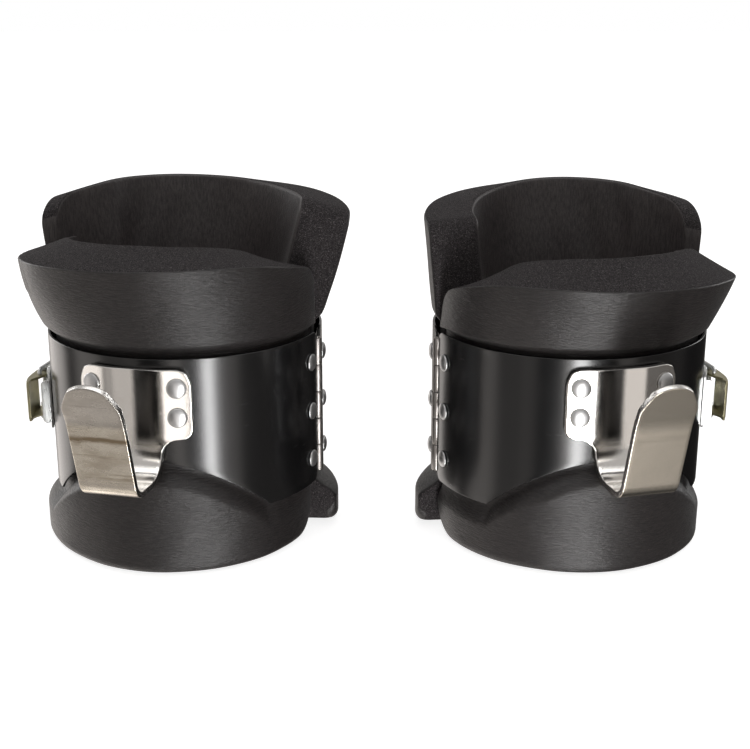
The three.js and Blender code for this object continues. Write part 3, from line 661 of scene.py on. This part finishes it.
def hookPath():
    # the strip's line from the plate's top edge to the tongue's tip: its tangent's angle over the
    # length, then its points as the running sum of that angle's cosine and sine
    down = hook["top"] - hook["bottom"] - hook["heel"]
    heelRun = hook["heel"] * math.pi / 2
    climbAngle, tipAngle = 90 - hook["lean"], 90 - hook["tipLean"]
    toeRun = hook["toe"] * math.radians(climbAngle)
    rise = hook["kink"] - hook["bottom"] - hook["toe"] * (1 - math.cos(math.radians(climbAngle)))
    climb = rise / math.cos(math.radians(hook["lean"]))
    tipRun = (hook["tip"] - hook["kink"]) / math.cos(math.radians(hook["tipLean"]))
    half = hook["kinkRun"] / 2
    runs = np.cumsum([0, down, heelRun, hook["floor"], toeRun, climb - half, 2 * half, tipRun - half])
    angles = [-90, -90, 0, 0, climbAngle, climbAngle, tipAngle, tipAngle]
    along = np.linspace(0, runs[-1], hook["samples"])
    angle = np.radians(np.interp(along, runs, angles))
    step = along[1] - along[0]
    mid = (angle[1:] + angle[:-1]) / 2
    out = np.concatenate([[0], np.cumsum(np.cos(mid)) * step])
    height = hook["top"] + np.concatenate([[0], np.cumsum(np.sin(mid)) * step])
    return along, out, height, angle


def hookOutline(total):
    # the side edge as (half width, distance along): corner, ear, fillet, neck and the tip's round
    def arc(cx, cy, r, start, stop, n):
        a = np.radians(np.linspace(start, stop, n))
        return np.stack([cx + r * np.cos(a), cy + r * np.sin(a)], axis=-1)
    w, tc, ec, f, neck = (hook[k] for k in ("halfWidth", "topCorner", "earCorner", "fillet", "neck"))
    ear = hook["top"] - hook["earBottom"]
    line = [
        arc(w - tc, tc, tc, -45, 0, 8),
        np.stack([np.full(14, w), np.linspace(tc + 1.5, ear - ec - 1.5, 14)], axis=-1),
        arc(w - ec, ear - ec, ec, 0, 90, 9),
        arc(neck + f, ear + f, f, -90, -180, 12),
        np.stack([np.full(110, neck), np.linspace(ear + f + 1, total - neck - 0.5, 110)], axis=-1),
        arc(0, total - neck, neck, 0, 50, 14),
    ]
    return np.concatenate(line)


def hookSheet(rowShare, colShare, depth, outline, path):
    # a share down the outline and a share across, -1 to 1, bent along the strip's line
    line, lineOut, lineHeight, lineAngle = path
    total = line[-1]
    index = rowShare * (len(outline) - 1)
    steps = np.arange(len(outline))
    width = np.interp(index, steps, outline[:, 0])
    side = np.interp(index, steps, outline[:, 1])
    ear = hook["top"] - hook["earBottom"]
    first = steps[outline[:, 1] > ear - hook["earCorner"] - 1][0]
    last = steps[outline[:, 1] > ear + hook["fillet"]][0]
    stops = [outline[0, 1], outline[first, 1], outline[last, 1], 0]
    eased = np.interp(index, [0, first, last, len(outline)], stops)
    mid = np.where((index > first) & (index < last), eased, side)
    x = colShare * width
    along = lerp(mid, side, np.abs(colShare) ** 6)
    topLine = cornerDrop(hook["topCorner"], hook["halfWidth"] - np.abs(x)) - outline[0, 1]
    tipRound = np.sqrt(np.maximum(hook["neck"] ** 2 - x**2, 0))
    tipLine = (total - hook["neck"] + tipRound) - outline[-1, 1]
    lead = np.clip(1 - side / 20, 0, 1)
    trail = np.clip(1 - (outline[-1, 1] - side) / hook["neck"], 0, 1)
    along = along + topLine * lead**2 + tipLine * trail**2
    # the ears are turned back round the cuff, each side of a flat middle
    run = hook["bendRadius"] * math.sin(earAngle)
    fade = 1 - smoothStep(along, ear - 2, ear + 9)
    tilt = earAngle * fade * np.sign(x) * smoothStep(np.abs(x), hook["flat"], hook["flat"] + run)
    back = fade * math.tan(earAngle) * softRamp(np.abs(x) - hook["flat"], run)
    turn = np.interp(along, line, lineAngle)
    out = depth * np.cos(tilt) - back
    forward = plateInside + np.interp(along, line, lineOut) + out * -np.sin(turn)
    height = np.interp(along, line, lineHeight) + out * np.cos(turn)
    return turned(np.stack([x + depth * np.sin(tilt), -forward, height], axis=-1), hook["turn"])


def softRamp(x, run):
    # nothing before 0, a parabola over the run, then a straight slope of 1
    x = np.maximum(x, 0)
    return np.where(x < run, x * x / (2 * run), x - run / 2)


def turned(points, degrees):
    # turned about the cuff axis
    c, s = math.cos(math.radians(degrees)), math.sin(math.radians(degrees))
    x, y = points[..., 0], points[..., 1]
    return np.stack([x * c - y * s, x * s + y * c, points[..., 2]], axis=-1)


def barHook(boot):
    path = hookPath()
    length, width, strip, edge = path[0][-1], 2 * hook["neck"], hook["strip"], hook["edge"]
    outline = hookOutline(length)
    rows = np.union1d(np.linspace(0, 1, len(outline) * 2 - 1), spacing(length, edge, 50))
    shares = rows, spacing(width, edge, 1.6), spacing(strip, edge, 0.8)

    def toPoint(s, h, t):
        return hookSheet(s, 2 * h - 1, t * strip, outline, path)
    looks = ["edge", "tongue" if boot.side > 0 else "satin", "chrome"]
    piece = addPiece(boot, "bar_hook", block((length, width, strip), shares, edge, toPoint), looks,
                     "front_half", "hook", [0, 0, 0, 0, 1, 2])
    markAcross(piece.data, boot)


def markAcross(mesh, boot):
    # each point keeps its place across the hook and its height, in millimetres, for the finish
    spots = np.empty(len(mesh.vertices) * 3, dtype=np.float32)
    mesh.vertices.foreach_get("co", spots)
    spots = spots.reshape(-1, 3)
    flat = (spots[:, :2] - boot.axis) @ boot.turn * (boot.side / mm, 1 / mm)
    across = turned(np.column_stack([flat, spots[:, 2]]), -hook["turn"])[:, 0]
    for name, values in (("across", across), ("height", spots[:, 2] / mm)):
        mesh.attributes.new(name, "FLOAT", "POINT").data.foreach_set("value", values.astype(np.float32))


for boot in boots:
    barHook(boot)
print("bar hooks made")

# rivets
rivets = dict(
    hinge=dict(head=4.9, dome=1.7, rim=0.45, shank=2.3, tail=3.4),
    hook=dict(head=5.5, dome=1.6, rim=0.4, shank=2.5, tail=4.0),
    latch=dict(head=3.2, dome=1.4, rim=0.4, shank=1.6, tail=2.6),
)
places = dict(hingeIn=13, upper=110, lower=93.5, tailDepth=1.0)
hinge = dict(
    bottom=38, top=120, knuckle=2.6, pin=1.2, leaf=1.2, width=20, knuckles=5, pinPast=0.5,
    knuckleGap=0.25, chamfer=0.3, start=0.6,
)
leafInside = 77.0


def rivetProfile(size, grip):
    # radius and distance outwards: a low dome on a thin rim, the shank, and the upset tail
    swing = np.linspace(math.pi / 2, 0, 12)
    head, tail, rim, shank = (size[key] for key in ("head", "tail", "rim", "shank"))
    deep = places["tailDepth"]
    dome = np.stack([head * np.cos(swing), rim + size["dome"] * np.sin(swing) ** 1.25], axis=-1)
    dome[0, 0] = 0
    foot = [(head, rim * 0.6), (head * 0.985, 0), (shank, 0), (shank, -grip), (tail * 0.96, -grip),
            (tail, -grip - 0.3), (tail * 0.9, -grip - deep), (0, -grip - deep)]
    return np.concatenate([dome, foot])


def addRivet(boot, kind, node, body, turn, height):
    seat, grip, look = seats[kind]
    outward = around(np.array(float(turn)), 1.0, np.array(0.0))
    at = outward * seat + np.array([0, 0, height])
    grids = lathe(rivetProfile(rivets[kind], grip), 36, at, outward)
    addPiece(boot, node + "_head", grids, [look], body, node)


latch = dict(
    height=82, plate=1.5, plateHalf=17, plateStart=3.5, plateEnd=27, pinOut=6, pinBack=14, pin=1.6,
    lug=1.6, lugRadius=3.7, lugOffset=10, leverHalf=12.2, leverWall=1.4, bailOut=4.4, bailBack=24,
    wire=1.3, bailCorner=2.4, pinHead=2.6, headDepth=1, rivetIn=3.8, lipOut=6, lipHalf=13, lipTurn=1.1,
    corner=3.5, edge=0.35,
)
keeper = dict(
    half=11, end=14.5, start=3, tabAt=8.2, tab=1.4, tabOut=7.6, tabHalf=9, tabStart=0.6, corner=2.5,
    rivetTurn=11.8, rivetIn=4.5,
)
earInside = (hook["flat"] * math.sin(earAngle) + hook["bendRadius"]
             + (plateInside - hook["bendRadius"]) * math.cos(earAngle))
hookFace = earInside + hook["strip"] + gap
latchFace = plateInside + latch["plate"] + gap
# how far out each kind's head sits, how much sheet it grips, and its finish
seats = dict(
    hinge=(plateInside, plateInside - leafInside + gap, "rivet"),
    hook=(hookFace, hookFace + gap - shellInside, "rivet"),
    latch=(latchFace, latchFace + gap - shellInside, "zinc"),
)


def allRivets(boot):
    margin = (hinge["top"] - hinge["bottom"]) / 7
    heights = np.linspace(hinge["bottom"] + margin, hinge["top"] - margin, 3)
    offset = math.degrees(places["hingeIn"] / cuffRadius)
    for i, height in enumerate(heights, 1):
        for half, side in (("rear", 1), ("front", -1)):
            addRivet(boot, "hinge", f"hinge_rivet_{half}_{i}", half + "_half", 90 + side * offset, height)
    spots = [(side, height) for side in (-1, 1) for height in (places["lower"], places["upper"])]
    for i, (side, height) in enumerate(spots, 1):
        turn = hook["turn"] + side * hook["earAngle"]
        addRivet(boot, "hook", f"hook_rivet_{i}", "front_half", turn, height)
    middle = -90 + (latch["plateStart"] + latch["plateEnd"]) / 2
    for i, side in enumerate((-1, 1), 1):
        height = latch["height"] + side * (latch["plateHalf"] - latch["rivetIn"])
        addRivet(boot, "latch", f"latch_rivet_{i}", "front_half", middle, height)
        height = latch["height"] + side * (keeper["half"] - keeper["rivetIn"])
        addRivet(boot, "latch", f"keeper_rivet_{i}", "rear_half", -90 - keeper["rivetTurn"], height)


for boot in boots:
    allRivets(boot)
print("rivets made")

# piano hinge
hingeAxis = (pivots["hinge"][0], 0, 0)


def drum(radius, low, high):
    # a round bar's profile from its lower end to its upper end, with small rounded edges
    cut = hinge["chamfer"]
    return [(0, low), (radius - cut, low), (radius - cut * 0.3, low + cut * 0.3), (radius, low + cut),
            (radius, high - cut), (radius - cut * 0.3, high - cut * 0.3), (radius - cut, high), (0, high)]


def hingeLeaf(boot, half):
    side = -1 if half == "front" else 1
    low, high, edge, apart = hinge["bottom"], hinge["top"], hinge["chamfer"], hinge["knuckleGap"]
    turns = 90 + side * hinge["start"], 90 + side * math.degrees(hinge["width"] / leafInside)
    rows = spacing(high - cuff["bottom"] + 1, edge, 2.2)
    grids = curvedPlate(turns, low, high, leafInside + hinge["leaf"], hinge["leaf"], edge, 2.2, rows)
    pitch = (high - low) / hinge["knuckles"]
    for i in range(0 if half == "front" else 1, hinge["knuckles"], 2):
        foot = low + i * pitch
        profile = drum(hinge["knuckle"], foot + apart, foot + pitch - apart)
        grids += lathe(profile, 40, hingeAxis, (0, 0, 1))
    addPiece(boot, half + "_hinge_leaf", grids, ["steel"], half + "_half", f"hinge_{half}_leaf")


def hingePin(boot):
    profile = drum(hinge["pin"], hinge["bottom"] - hinge["pinPast"], hinge["top"] + hinge["pinPast"])
    grids = lathe(profile, 28, hingeAxis, (0, 0, 1))
    addPiece(boot, "hinge_rod", grids, ["steel"], "rear_half", "hinge_pin")


for boot, half in product(boots, halves):
    hingeLeaf(boot, half)
for boot in boots:
    hingePin(boot)
print("piano hinges made")


# draw latch
def outBack(out, back, height):
    # out from the shell at the latch, back from the slit towards the front half
    return np.stack([-cuffRadius - out, -back, height + 0 * out], axis=-1)


def roundedPlate(turns, half, corner):
    rows = spacing(2 * half, latch["edge"], 2)
    return curvedPlate(turns, latch["height"] - half, latch["height"] + half,
                       plateInside + latch["plate"], latch["plate"], latch["edge"], 1.0, rows, corner)


def latchBase(boot):
    turns = latch["plateStart"] - 90, latch["plateEnd"] - 90
    grids = roundedPlate(turns, latch["plateHalf"], latch["corner"])
    tip = latch["pinOut"] + latch["lugRadius"]

    def half(out):
        past = np.maximum(out - latch["pinOut"], 0)
        rounded = np.sqrt(np.maximum(latch["lugRadius"] ** 2 - past**2, 0))
        return rounded + 2.6 * np.clip(1 - out / 5, 0, 1) ** 1.6

    def lowHalf(out):
        return -half(out)
    for side in (-1, 1):
        face = latch["height"] + side * (latch["lugOffset"] - latch["lug"] / 2)

        def toPoint(out, across, depth, face=face):
            # the lug's foot sinks to follow the cuff's curve
            base = np.clip(-across - latch["pinBack"], -30, 30)
            sink = cuffRadius - np.sqrt(cuffRadius ** 2 - base**2)
            out = out - sink * np.clip(1 - out / 6, 0, 1)
            return outBack(out, latch["pinBack"] + across, face + depth - latch["lug"] / 2)
        grids += plateAlong(0.2, tip, lowHalf, half, latch["lug"], 0.3, toPoint)
    addPiece(boot, "latch_plate", grids + latchLip(), ["zinc"], "front_half", "latch_base")


def latchLip():
    # the plate's front end is folded outwards: a block of turn, height and distance from the axis
    foot, edge = 0.4, latch["edge"]
    sizes = math.radians(latch["lipTurn"]) * cuffRadius, 2 * latch["lipHalf"], latch["lipOut"] - foot

    def toPoint(along, up, out):
        short = cornerDrop(2.5, (1 - out) * sizes[2])
        turn = latch["plateEnd"] - 90 - latch["lipTurn"] * (1 - along)
        height = latch["height"] + (up - 0.5) * (sizes[1] - 2 * short)
        return around(turn, plateInside + foot + out * sizes[2], height)
    return block(sizes, [spacing(size, edge, 1.5) for size in sizes], edge, toPoint)


# the channel's side, as distances out from the shell at places back from the slit
leverLine = dict(
    back=(9.2, 9.6, 10.2, 11.5, 13, 16, 20, 24, 28, 31, 34, 37, 39.4),
    outer=(6, 8.2, 9.2, 9.9, 10.2, 10.2, 10.0, 9.7, 9.2, 8.6, 7.7, 6.6, 5.6),
    inner=(5.9, 3.6, 2.3, 2.0, 2.0, 1.9, 1.7, 1.6, 2.6, 4.3, 5.2, 4.7, 4.4),
    webFrom=17.1, webIn=0.06, corner=3.0, gripDepth=0.16, gripRate=2.6, gripFrom=(26, 28),
)


def lever(boot):
    line, half, wall, edge = leverLine, latch["leverHalf"], latch["leverWall"], latch["edge"]
    start, end = line["back"][0], line["back"][-1]

    def outer(back):
        return np.interp(back, line["back"], line["outer"])

    def inner(back):
        return np.interp(back, line["back"], line["inner"])

    def webHalf(back):
        return 0 * back + half - line["webIn"]

    def webLow(back):
        return -webHalf(back)

    def webPoint(back, across, depth):
        # the web has round corners at its end and fine ridges across it for the finger
        squeeze = 1 - cornerDrop(line["corner"], end - back) / half
        wave = line["gripDepth"] * (1 + np.cos(back * line["gripRate"]))
        ridge = wave * smoothStep(back, *line["gripFrom"]) * (depth < 0.4)
        return outBack(outer(back) + 0.05 + ridge - depth, back, latch["height"] + across * squeeze)
    grids = []
    for side in (-1, 1):
        face = latch["height"] + side * (half - wall / 2) - wall / 2

        def sidePoint(back, out, depth, face=face):
            return outBack(out, back, face + depth)
        grids += plateAlong(start, end, inner, outer, wall, edge, sidePoint)
    grids += plateAlong(line["webFrom"], end - 0.1, webLow, webHalf, wall, edge, webPoint)
    addPiece(boot, "lever_handle", grids, ["olive"], "lever", "latch_lever")


def leverPin(boot):
    # a pin with a low round head at both ends
    reach = latch["leverHalf"] + gap
    deep, pin, head = latch["headDepth"], latch["pin"], latch["pinHead"]
    top = [(pin, reach), (head, reach), (head, reach + deep * 0.2), (head * 0.9, reach + deep * 0.6),
           (head * 0.55, reach + deep * 0.95), (0, reach + deep)]
    profile = [(radius, -z) for radius, z in top[::-1]] + top
    at = outBack(np.array(float(latch["pinOut"])), latch["pinBack"], latch["height"])
    addPiece(boot, "lever_pivot", lathe(profile, 32, at, (0, 0, 1)), ["zinc"], "front_half", "latch_pin")


def bail(boot):
    # a bent wire: straight runs joined by quarter rounds, in the plane of the lever's holes
    x = -cuffRadius - latch["bailOut"]
    start = -latch["bailBack"]
    end = keeper["tabAt"] + keeper["tab"] + gap + latch["wire"]
    half = latch["leverHalf"] + latch["headDepth"] + 2 * gap + latch["wire"]
    inEnd = latch["leverHalf"] - latch["leverWall"] + gap
    corners = np.array([[start, -inEnd], [start, -half], [end, -half], [end, half], [start, half],
                        [start, inEnd]])
    r = latch["bailCorner"]
    path = [corners[0][None]]
    for before, here, after in zip(corners, corners[1:], corners[2:]):
        into = (before - here) / np.linalg.norm(before - here)
        away = (after - here) / np.linalg.norm(after - here)
        bend = np.linspace(0, np.pi / 2, 9)[:, None]
        path.append(here + r * (into + away) - r * (away * np.cos(bend) + into * np.sin(bend)))
    path.append(corners[-1][None])
    line = np.concatenate(path)
    points = np.column_stack([np.full(len(line), x), line[:, 0], latch["height"] + line[:, 1]])
    addPiece(boot, "bail_wire", tube(points, latch["wire"]), ["zinc"], "bail", "latch_bail")


def keeperPlate(boot):
    # a small plate with an upright tab that the wire drops behind
    grids = roundedPlate((-90 - keeper["end"], -90 - keeper["start"]), keeper["half"], keeper["corner"])
    start, edge = keeper["tabStart"], latch["edge"]
    sizes = keeper["tabOut"] + gap - start, 2 * keeper["tabHalf"], keeper["tab"]

    def toPoint(out, up, along):
        narrow = cornerDrop(keeper["corner"], (1 - out) * sizes[0])
        height = latch["height"] + (up - 0.5) * (sizes[1] - 2 * narrow)
        return outBack(start + out * sizes[0], -keeper["tabAt"] - along * sizes[2], height)
    grids += block(sizes, [spacing(size, edge, 1) for size in sizes], edge, toPoint)
    addPiece(boot, "keeper_tab", grids, ["zinc"], "rear_half", "keeper")


for boot, make in product(boots, (latchBase, lever, leverPin, bail, keeperPlate)):
    make(boot)
print("draw latches made")

# camera, floor and light
cameraLook = dict(side=-1.3, ahead=767, height=328, pitch=17.33, lens=64.33, shiftY=0.0074)


def setCamera():
    data = bpy.data.cameras.new("camera")
    data.lens = cameraLook["lens"]
    data.sensor_width = 36
    data.shift_y = cameraLook["shiftY"]
    data.clip_end = 50
    camera = added("camera", data)
    middle = (boots[0].axis + boots[1].axis) / 2
    camera.location = (middle[0] + cameraLook["side"] * mm, middle[1] - cameraLook["ahead"] * mm,
                       cameraLook["height"] * mm)
    camera.rotation_euler = (math.radians(90 - cameraLook["pitch"]), 0, 0)
    bpy.context.scene.camera = camera


lights = [
    dict(name="tall strip ahead", at=(0.15, -0.6, -0.59), size=(0.11, 1.42), power=8.5, aim=(0.15, 0, -0.59)),
    dict(name="soft box above", at=(0, -0.1, 1.7), size=(1.8, 1.2), power=10, aim=(0, 0, 0.1)),
    dict(name="rim left", at=(-1.6, 1.0, 0.6), size=(0.5, 1.2), power=6, aim=(0, 0, 0.1)),
    dict(name="rim right", at=(1.6, 1.0, 0.6), size=(0.5, 1.2), power=6, aim=(0, 0, 0.1)),
]


def setLights():
    for look in lights:
        data = bpy.data.lights.new(look["name"], "AREA")
        data.shape = "RECTANGLE"
        data.size, data.size_y = look["size"]
        data.energy = look["power"]
        lamp = added(look["name"], data)
        at = np.array(look["at"])
        aim = np.array(look["aim"]) - at
        lamp.location = at
        flat = math.hypot(aim[0], aim[1])
        lamp.rotation_euler = (math.atan2(flat, -aim[2]), 0, math.atan2(-aim[0], aim[1]))
        lamp.visible_camera = False


# upright bands of light in the room: the angle from straight ahead, half width, soft edge, level
studio = dict(
    bands=[(-132, 14, 12, 1.5), (-81, 8, 14, 1.1), (-53, 4, 8, 0.35), (-38, 5, 3.5, 0.5), (-3, 4, 3.5, 1.6),
           (40, 7, 5, 0.7), (75, 18, 20, 0.12)],
    dim=0.02, back=0.4, backFrom=(148, 172), tint=(1, 0.94, 0.895), over=(0.50, 0.485, 0.475),
    floorTone=0.5, floorGlow=0.82, floorRoom=(0.35, 0.32, 0.29),
)


class Shared(Finish):
    # the same node maker on a world's or the floor's own tree
    def __init__(self, tree):
        self.nodes, self.links = tree.nodes, tree.links


def setWorld():
    # a white backdrop where it is looked at. What gloss reflects is a dim room with upright bands
    # of light below eye level, evenly grey above it
    world = bpy.data.worlds.new("studio")
    bpy.context.scene.world = world
    world.use_nodes = True
    room = Shared(world.node_tree)
    direction = room.add("ShaderNodeTexCoord", {}, {}, "Generated")
    x, y, z = (room.add("ShaderNodeSeparateXYZ", {}, {0: direction}, axis) for axis in "XYZ")
    angle = room.add("ShaderNodeMath", dict(operation="ARCTAN2"), {0: x, 1: 0 - y}) * (180 / math.pi)
    level = angle.absolute().between(*studio["backFrom"]) * studio["back"] + studio["dim"]
    for centre, half, soft, strength in studio["bands"]:
        level = level + (1 - (angle - centre).absolute().between(half, half + soft)) * strength
    tone = room.add("ShaderNodeCombineXYZ", {}, {i: level * share for i, share in enumerate(studio["tint"])})
    colour = room.mixed(z.between(-0.02, 0.16), tone, studio["over"])
    lit = room.add("ShaderNodeBackground", {}, {"Color": colour, "Strength": 1.0})
    seen = room.add("ShaderNodeBackground", {}, {"Color": (1, 1, 1, 1), "Strength": 1.0})
    rays = room.add("ShaderNodeLightPath", {}, {}, "Is Camera Ray")
    mix = room.add("ShaderNodeMixShader", {}, {0: rays, 1: lit, 2: seen})
    room.links.new(mix.socket, room.nodes["World Output"].inputs["Surface"])


def setFloor():
    # pale paper where it is looked at, grey to soft light, and clear to what gloss reflects
    paper = Finish("floor", Roughness=0.8, Emission_Color=(1.0, 1.0, 1.0))
    paper.set(Base_Color=(studio["floorTone"],) * 3, Emission_Strength=studio["floorGlow"])
    grey = paper.add("ShaderNodeBsdfDiffuse", {}, {"Color": (*studio["floorRoom"], 1)})
    clear = paper.add("ShaderNodeBsdfTransparent", {}, {})
    diffuse = paper.add("ShaderNodeLightPath", {}, {}, "Is Diffuse Ray")
    looked = paper.add("ShaderNodeLightPath", {}, {}, "Is Camera Ray")
    unseen = paper.add("ShaderNodeMixShader", {}, {0: diffuse, 1: clear, 2: grey})
    top = Value(paper, paper.shader.outputs[0])
    mix = paper.add("ShaderNodeMixShader", {}, {0: looked, 1: unseen, 2: top})
    paper.links.new(mix.socket, paper.nodes["Material Output"].inputs["Surface"])
    across = np.linspace(-6, 6, 25)
    x, y = np.meshgrid(across, across, indexing="ij")
    points = np.stack([x, y, 0 * x - 0.0002], axis=-1).reshape(-1, 3)
    mesh = bpy.data.meshes.new("floor")
    mesh.from_pydata(points.tolist(), [], gridQuads(25, 25, 0, False).tolist())
    mesh.materials.append(paper.material)
    floor = added("floor", mesh)


setCamera()
setLights()
setWorld()
setFloor()
bpy.context.scene.view_settings.view_transform = "Standard"
print("camera, lights and floor set")

bpy.context.view_layer.update()
